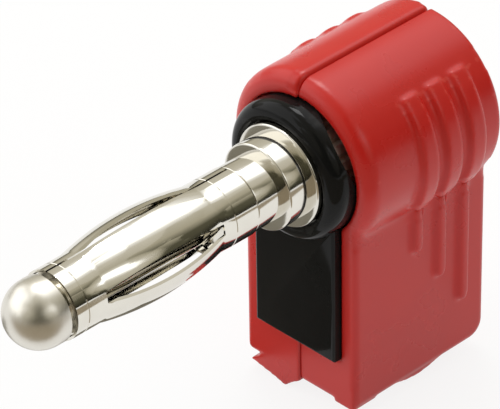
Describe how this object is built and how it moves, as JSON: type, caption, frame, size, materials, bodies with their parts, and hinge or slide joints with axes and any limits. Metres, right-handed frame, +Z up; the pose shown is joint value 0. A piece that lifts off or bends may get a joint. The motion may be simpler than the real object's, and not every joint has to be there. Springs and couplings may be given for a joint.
{
  "type": "banana plug",
  "caption": "Right-angle banana plug: a sprung round contact pin in a black insulator, held by a red two-part grip whose ribbed stem takes a cable from below.",
  "frame": {"origin": "on the contact pin's axis, at the shoulder that stops against a socket", "axes": "-Y along the pin towards its tip, +Z up from the stem's foot to the round top, +X to the right seen from the pin's tip"},
  "size_m": [0.011, 0.0306, 0.0204],
  "materials": {
    "nickel_pin": "bright nickel plate over brass",
    "nickel_spring": "bright nickel plate over spring sheet",
    "black_insulator": "glossy moulded",
    "red_grip": "semi-gloss moulded",
    "screw_steel": "plain turned"
  },
  "bodies": {
    "plug": {"pin": "nickel_pin", "insulator": "black_insulator", "cover_left": "red_grip"},
    "spring": {"contact_spring": "nickel_spring"},
    "cover": {"cover_right": "red_grip"},
    "screw": {"clamp_screw": "screw_steel"}
  },
  "joints": [
    {"name": "spring_spin", "type": "hinge", "parent": "plug", "child": "spring", "pos_m": [0, -0.0082, 0], "axis": [0, 1, 0], "continuous": true},
    {"name": "cover_pull", "type": "slide", "parent": "plug", "child": "cover", "axis": [1, 0, 0], "range_m": [0, 0.012]},
    {"name": "screw_drive", "type": "slide", "parent": "plug", "child": "screw", "axis": [-1, 0, 0], "range_m": [-0.0002, 0.0009]}
  ]
}
